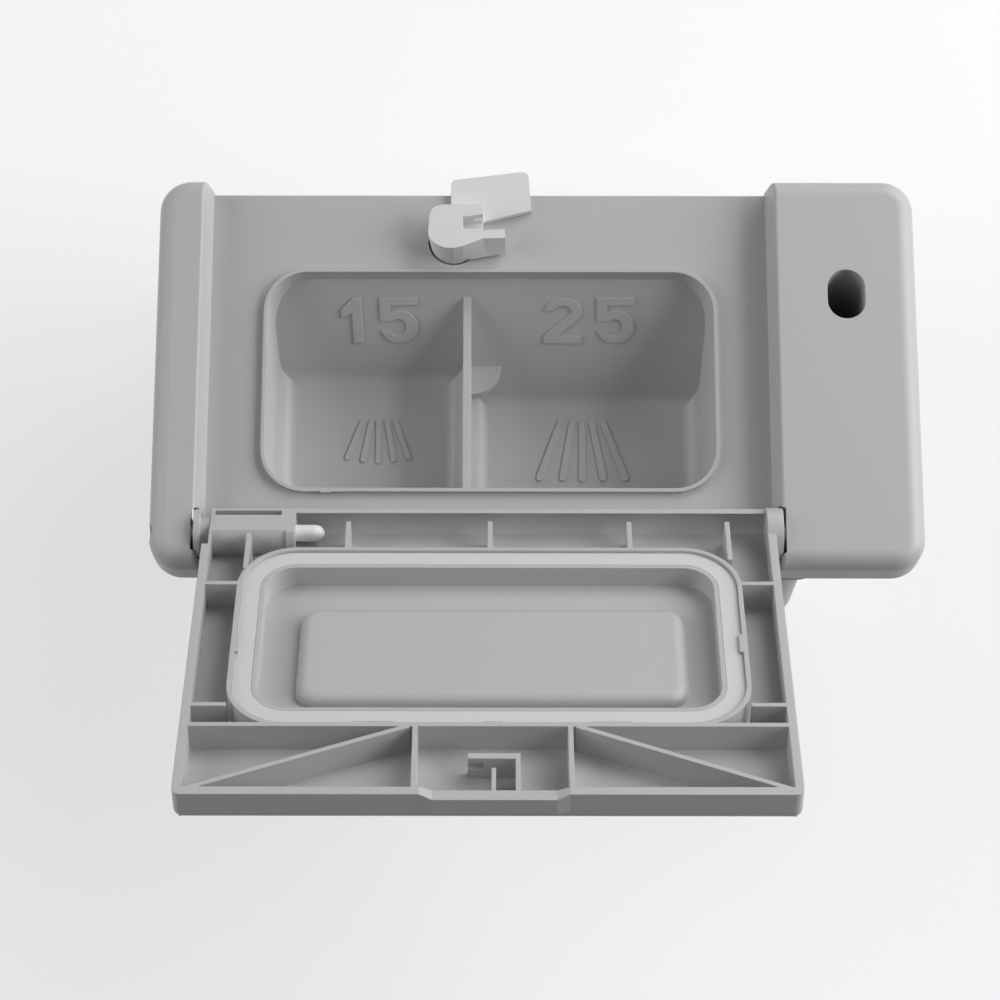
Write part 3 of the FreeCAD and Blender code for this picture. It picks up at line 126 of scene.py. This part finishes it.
nodes = grain.nodes
links = grain.links
group_in = nodes.new("NodeGroupInput")
group_out = nodes.new("NodeGroupOutput")
coords = nodes.new("ShaderNodeTexCoord")
noise = nodes.new("ShaderNodeTexNoise")
noise.inputs["Detail"].default_value = GRAIN_DETAIL
spread = nodes.new("ShaderNodeMath")
spread.operation = "MULTIPLY_ADD"
spread.inputs[1].default_value = ROUGHNESS_CHANGE
bump = nodes.new("ShaderNodeBump")
bump.inputs["Distance"].default_value = GRAIN_HEIGHT
soft_edge = nodes.new("ShaderNodeBevel")
soft_edge.samples = EDGE_SAMPLES
soft_edge.inputs["Radius"].default_value = EDGE_RADIUS
links.new(soft_edge.outputs["Normal"], bump.inputs["Normal"])
links.new(coords.outputs["Object"], noise.inputs["Vector"])
links.new(group_in.outputs["Scale"], noise.inputs["Scale"])
links.new(noise.outputs["Fac"], spread.inputs[0])
links.new(group_in.outputs["Roughness"], spread.inputs[2])
links.new(noise.outputs["Fac"], bump.inputs["Height"])
links.new(group_in.outputs["Depth"], bump.inputs["Strength"])
links.new(spread.outputs["Value"], group_out.inputs["Roughness"])
links.new(bump.outputs["Normal"], group_out.inputs["Normal"])
print("grain group has", len(nodes), "nodes")

# %% [markdown]
# ## Plastic, rubber and metal
#
# Housing and lid are one grey plastic, the shell behind them a slightly darker one. The lever is
# pale, the pin nearly white, the lid's seal light and the door's gasket black rubber. Springs and
# clips are bright steel. A picture could be laid over each piece, but every piece is one stuff
# right through, so a plain colour with the grain is simpler and nearer to the real thing.

# %% Two kinds of material
def moulded(name, color, roughness, depth):
    """A plastic or rubber with the shared grain."""
    material = bpy.data.materials.new(name)
    material.use_nodes = True
    tree = material.node_tree
    shader = tree.nodes["Principled BSDF"]
    shader.inputs["Base Color"].default_value = (*color, 1.0)
    effect = tree.nodes.new("ShaderNodeGroup")
    effect.node_tree = grain
    effect.inputs["Roughness"].default_value = roughness
    effect.inputs["Depth"].default_value = depth
    tree.links.new(effect.outputs["Roughness"], shader.inputs["Roughness"])
    tree.links.new(effect.outputs["Normal"], shader.inputs["Normal"])
    return material


def metal(name, color, roughness):
    """A plain metal."""
    material = bpy.data.materials.new(name)
    material.use_nodes = True
    shader = material.node_tree.nodes["Principled BSDF"]
    shader.inputs["Base Color"].default_value = (*color, 1.0)
    shader.inputs["Metallic"].default_value = 1.0
    shader.inputs["Roughness"].default_value = roughness
    return material


print("materials made so far:", len(bpy.data.materials))

# %% Materials on the pieces
# A plastic or rubber has a colour, a roughness and the depth of its grain, a metal only the first two.
LOOKS = {
    "housing_plastic": moulded("housing_plastic", (0.465, 0.467, 0.469), 0.4, 0.05),
    "shell_plastic": moulded("shell_plastic", (0.42, 0.43, 0.44), 0.42, 0.05),
    "lever_plastic": moulded("lever_plastic", (0.70, 0.71, 0.71), 0.38, 0.04),
    "pin_plastic": moulded("pin_plastic", (0.88, 0.88, 0.87), 0.28, 0.01),
    "seal_rubber": moulded("seal_rubber", (0.62, 0.62, 0.62), 0.5, 0.04),
    "gasket_rubber": moulded("gasket_rubber", (0.10, 0.10, 0.11), 0.6, 0.06),
    "spring_steel": metal("spring_steel", (0.66, 0.66, 0.67), 0.28),
    "plated_steel": metal("plated_steel", (0.60, 0.60, 0.60), 0.35),
    "winding_copper": metal("winding_copper", (0.62, 0.30, 0.16), 0.35),
}
slots = {entry["node"]: entry["material_slot"] for entry in frame["record"]["subparts"]}
for node, piece in frame["nodes"].items():
    piece.data.materials.clear()
    piece.data.materials.append(LOOKS[slots[node]])
print("materials set on", len(slots), "nodes")

# %% [markdown]
# ## Raised marks
#
# The dose numbers and the rib marks are part of the housing's moulding and stand a little proud of
# it. They could be a bump in the material, but a bump has no side that catches the light. So each
# one is a thin plate with soft edges, sunk slightly into the wall so that no gap shows under it.

# %% A raised mark
ROOT_MM = 0.3
EDGE_STEPS = 2


def raised(name, outline, corner, across, up, out, rise, edge):
    """A low raised shape: outline points (mm) in a plane, lifted along out, with soft edges."""
    count = len(outline)
    verts = []
    for lift in (-ROOT_MM, rise):
        for u, v in outline:
            verts.append(tuple(corner + (across * u + up * v + out * lift) / MM_IN_METRE))
    faces = [tuple(range(count))[::-1], tuple(range(count, 2 * count))]
    for i in range(count):
        j = (i + 1) % count
        faces.append((i, j, count + j, count + i))
    mesh = bpy.data.meshes.new(name)
    mesh.from_pydata(verts, [], faces)
    mesh.materials.append(LOOKS["housing_plastic"])
    piece = bpy.data.objects.new(name, mesh)
    bpy.context.scene.collection.objects.link(piece)
    soften = piece.modifiers.new("edges", "BEVEL")
    soften.width = edge / MM_IN_METRE
    soften.segments = EDGE_STEPS
    soften.limit_method = "ANGLE"
    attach(piece, "housing")


print("marks are sunk", ROOT_MM, "mm into the wall")


# %% Round strokes
def arc(cx, cy, rx, ry, start, end, steps=14):
    """Points on an ellipse from one angle to another, in degrees."""
    points = []
    for step in range(steps + 1):
        turn = math.radians(start + (end - start) * step / steps)
        points.append((cx + rx * math.cos(turn), cy + ry * math.sin(turn)))
    return points


print("a round stroke has", len(arc(0.0, 0.0, 1.0, 1.0, 0.0, 180.0)), "points")

# %% [markdown]
# ## Dose numbers
#
# The numbers 15 and 25 stand on the cup's sloping far wall. A typeface would be the quick way, but
# its strokes differ from the moulded ones. So each digit is an outline in a unit square, drawn
# after the photo, and set to its width and height on the slope.

# %% Outlines of the digits
ONE = [(0.55, 0.0), (1.0, 0.0), (0.92, 1.0), (0.55, 1.0), (0.0, 0.74), (0.0, 0.54), (0.49, 0.67)]
TWO = [(0.0, 0.0), (1.0, 0.0), (1.0, 0.17), (0.39, 0.17)]
TWO += arc(0.51, 0.71, 0.49, 0.29, -35, 180)
TWO += arc(0.5, 0.70, 0.235, 0.13, 172, -22)
TWO += [(0.0, 0.165)]
FIVE = [(0.02, 0.486), (0.25, 0.486)]
FIVE += arc(0.48, 0.35, 0.225, 0.19, 140, -152)
FIVE += [(0.26, 0.285), (0.03, 0.265)]
FIVE += arc(0.51, 0.363, 0.49, 0.363, 202, 478, steps=20)
FIVE += [(0.29, 0.835), (1.0, 0.84), (1.0, 1.0), (0.0, 1.0)]
print("outline points:", len(ONE), len(TWO), len(FIVE))

# %% Digits on the slope
# Each row is an outline and the places of its left and right edges.
DIGITS = [
    (ONE, -62.4, -55.4),
    (FIVE, -50.1, -37.9),
    (TWO, 2.6, 14.7),
    (FIVE, 19.4, 31.5),
]
DIGIT_LOW = -20.2
DIGIT_HIGH = -8.2
DIGIT_RISE = 0.6
DIGIT_EDGE = 0.14
X_WAY = Vector((1.0, 0.0, 0.0))
slope_up = Vector((0.0, math.cos(SLOPE), math.sin(SLOPE)))
slope_out = Vector((0.0, -math.sin(SLOPE), math.cos(SLOPE)))
tall = (DIGIT_HIGH - DIGIT_LOW) / math.sin(SLOPE)
foot_y = SLOPE_TOP.y + (DIGIT_LOW - SLOPE_TOP.z) / math.tan(SLOPE)
for index, (shape, left, right) in enumerate(DIGITS):
    outline = [(u * (right - left), v * tall) for u, v in shape]
    corner = place(left, foot_y, DIGIT_LOW)
    raised("digit_%d" % index, outline, corner, X_WAY, slope_up, slope_out, DIGIT_RISE, DIGIT_EDGE)
print("digits:", len(DIGITS), "height in mm:", round(tall, 1))

# %% [markdown]
# ## Rib marks on the floors
#
# Five short bars fan out on each floor of the cup and get wider apart towards the lid. They are not
# quite evenly spread, so a pattern round one centre would miss some. Each bar has its own two ends
# instead, read from the photo, and one function makes a flat bar with a round near end.

# %% One rib mark
Y_WAY = Vector((0.0, 1.0, 0.0))
Z_WAY = Vector((0.0, 0.0, 1.0))
RAY_RISE = 0.55
RAY_EDGE = 0.15
FAR_END_SHARE = 0.9
ROUND_STEPS = 8


def ray(name, start, end, width, floor_z):
    """A bar between two floor points, its near end round and its far end slightly narrower."""
    a = Vector(start)
    b = Vector(end)
    along = (b - a).normalized()
    side = Vector((-along.y, along.x))
    half = width / 2
    outline = [a - side * half * FAR_END_SHARE]
    for step in range(ROUND_STEPS + 1):
        turn = math.pi * step / ROUND_STEPS
        outline.append(b - side * half * math.cos(turn) + along * half * math.sin(turn))
    outline.append(a + side * half * FAR_END_SHARE)
    points = [tuple(p) for p in outline]
    raised(name, points, place(0.0, 0.0, floor_z), X_WAY, Y_WAY, Z_WAY, RAY_RISE, RAY_EDGE)


print("a rib mark has", ROUND_STEPS + 3, "outline points")

# %% Rib marks on both floors
SMALL_RAY_WIDTH = 1.9
LARGE_RAY_WIDTH = 2.4
# Each row is the bar's far end and its near end.
SMALL_RAYS = [
    ((-55.7, 35.2), (-60.6, 22.7)),
    ((-53.0, 35.2), (-55.6, 21.9)),
    ((-50.7, 35.2), (-50.7, 21.5)),
    ((-48.1, 35.2), (-45.7, 21.9)),
    ((-45.5, 35.2), (-40.9, 22.6)),
]
LARGE_RAYS = [
    ((8.3, 36.6), (1.4, 17.7)),
    ((12.1, 36.6), (8.9, 17.6)),
    ((15.3, 36.6), (15.2, 17.4)),
    ((18.4, 36.6), (22.0, 17.6)),
    ((22.0, 36.6), (29.1, 17.7)),
]
for i, (start, end) in enumerate(SMALL_RAYS):
    ray("small_ray_%d" % i, start, end, SMALL_RAY_WIDTH, SMALL_FLOOR)
for i, (start, end) in enumerate(LARGE_RAYS):
    ray("large_ray_%d" % i, start, end, LARGE_RAY_WIDTH, LARGE_FLOOR)
print("rib marks:", len(SMALL_RAYS) + len(LARGE_RAYS))

# %% [markdown]
# ## The table
#
# The dispenser stands on a pale table that runs past the edges of the picture. A plain white table
# would throw light back at the part and make its dark places paler. So the table is a darker grey
# for the light that it passes on, and near white, with its shadow kept, where it is seen straight
# on or in a reflection. The world is treated in the same way, so both share one function.

# %% What is seen straight on or in a reflection
def seen_share(tree):
    """One for camera, glossy and transmission rays, and zero for all others."""
    path = tree.nodes.new("ShaderNodeLightPath")
    seen = tree.nodes.new("ShaderNodeMath")
    seen.operation = "MAXIMUM"
    seen_more = tree.nodes.new("ShaderNodeMath")
    seen_more.operation = "MAXIMUM"
    tree.links.new(path.outputs["Is Camera Ray"], seen.inputs[0])
    tree.links.new(path.outputs["Is Glossy Ray"], seen.inputs[1])
    tree.links.new(seen.outputs["Value"], seen_more.inputs[0])
    tree.links.new(path.outputs["Is Transmission Ray"], seen_more.inputs[1])
    return seen_more.outputs["Value"]


print("seen: camera, glossy and transmission rays")

# %% Table top
TABLE_SIZE = 6.0

bpy.ops.mesh.primitive_plane_add(size=TABLE_SIZE, location=(0.0, 0.0, 0.0))
floor = bpy.context.object
floor.name = "table"
print("table is", TABLE_SIZE, "m wide")

# %% Table look
WHITE = (1.0, 1.0, 1.0, 1.0)
TABLE_ROUGHNESS = 0.9
TABLE_UNSEEN = (0.3, 0.3, 0.3, 1.0)
TABLE_SEEN = (0.98, 0.98, 0.98, 1.0)
TABLE_GLOW = 1.0
TABLE_GLOW_SHARE = 0.58

floor_look = bpy.data.materials.new("table")
floor_look.use_nodes = True
floor_tree = floor_look.node_tree
floor_links = floor_tree.links
floor_shader = floor_tree.nodes["Principled BSDF"]
floor_shader.inputs["Roughness"].default_value = TABLE_ROUGHNESS
floor_color = floor_tree.nodes.new("ShaderNodeMix")
floor_color.data_type = "RGBA"
floor_color.inputs["A"].default_value = TABLE_UNSEEN
floor_color.inputs["B"].default_value = TABLE_SEEN
floor_white = floor_tree.nodes.new("ShaderNodeEmission")
floor_white.inputs["Color"].default_value = WHITE
floor_white.inputs["Strength"].default_value = TABLE_GLOW
floor_share = floor_tree.nodes.new("ShaderNodeMath")
floor_share.operation = "MULTIPLY"
floor_share.inputs[1].default_value = TABLE_GLOW_SHARE
floor_mix = floor_tree.nodes.new("ShaderNodeMixShader")
floor_out = floor_tree.nodes["Material Output"]
floor_seen = seen_share(floor_tree)
floor_links.new(floor_seen, floor_share.inputs[0])
floor_links.new(floor_seen, floor_color.inputs["Factor"])
floor_links.new(floor_color.outputs["Result"], floor_shader.inputs["Base Color"])
floor_links.new(floor_share.outputs["Value"], floor_mix.inputs["Fac"])
floor_links.new(floor_shader.outputs["BSDF"], floor_mix.inputs[1])
floor_links.new(floor_white.outputs["Emission"], floor_mix.inputs[2])
floor_links.new(floor_mix.outputs["Shader"], floor_out.inputs["Surface"])
floor.data.materials.append(floor_look)
print("table look has", len(floor_tree.nodes), "nodes")

# %% [markdown]
# ## The lamps
#
# Studio light on a pale part comes from wide panels, because a small lamp draws hard shadows. One
# panel could hang overhead, but it would fill the cup and the lid's pockets. So two stand at the
# sides and one at the far right: the outer faces are bright and the pockets stay darker, as in the
# photo. They are kept weak, and still the pale lever's top reaches white when it is seen from low
# down at the left.

# %% Lamps
LAMP_AIM = (0.0, 0.0, 0.06)


def lamp(name, spot, size, watts):
    """A square soft lamp that points at the part."""
    data = bpy.data.lights.new(name, "AREA")
    data.size = size
    data.energy = watts
    item = bpy.data.objects.new(name, data)
    item.location = spot
    way = Vector(LAMP_AIM) - Vector(spot)
    item.rotation_euler = way.to_track_quat("-Z", "Y").to_euler()
    bpy.context.scene.collection.objects.link(item)


# Each row is a name, a place and a width in metres, and a power in watts.
LAMPS = [
    ("right", (1.25, 0.1, 0.74), 1.1, 18.3),
    ("left", (-1.25, 0.1, 0.74), 1.1, 10.0),
    ("far_right", (0.8, 1.1, 0.78), 0.9, 11.0),
]
for name, spot, size, watts in LAMPS:
    lamp(name, spot, size, watts)
print("lamps:", len(bpy.data.lights))

# %% [markdown]
# ## The world
#
# Beyond the table everything is plain white. At full strength that would light every pocket from
# above and all sides, so the world gives only a little even light and is white where it is seen.

# %% World
WORLD_LIGHT = 0.03
WORLD_SEEN = 1.0

world = bpy.data.worlds.new("world")
world.use_nodes = True
bpy.context.scene.world = world
tree = world.node_tree
for old in list(tree.nodes):
    tree.nodes.remove(old)
mix = tree.nodes.new("ShaderNodeMixShader")
out = tree.nodes.new("ShaderNodeOutputWorld")
tree.links.new(seen_share(tree), mix.inputs["Fac"])
for socket, strength in ((mix.inputs[1], WORLD_LIGHT), (mix.inputs[2], WORLD_SEEN)):
    room = tree.nodes.new("ShaderNodeBackground")
    room.inputs["Color"].default_value = WHITE
    room.inputs["Strength"].default_value = strength
    tree.links.new(room.outputs["Background"], socket)
tree.links.new(mix.outputs["Shader"], out.inputs["Surface"])
bpy.context.scene.view_settings.view_transform = "Standard"
print("world has", len(tree.nodes), "nodes")
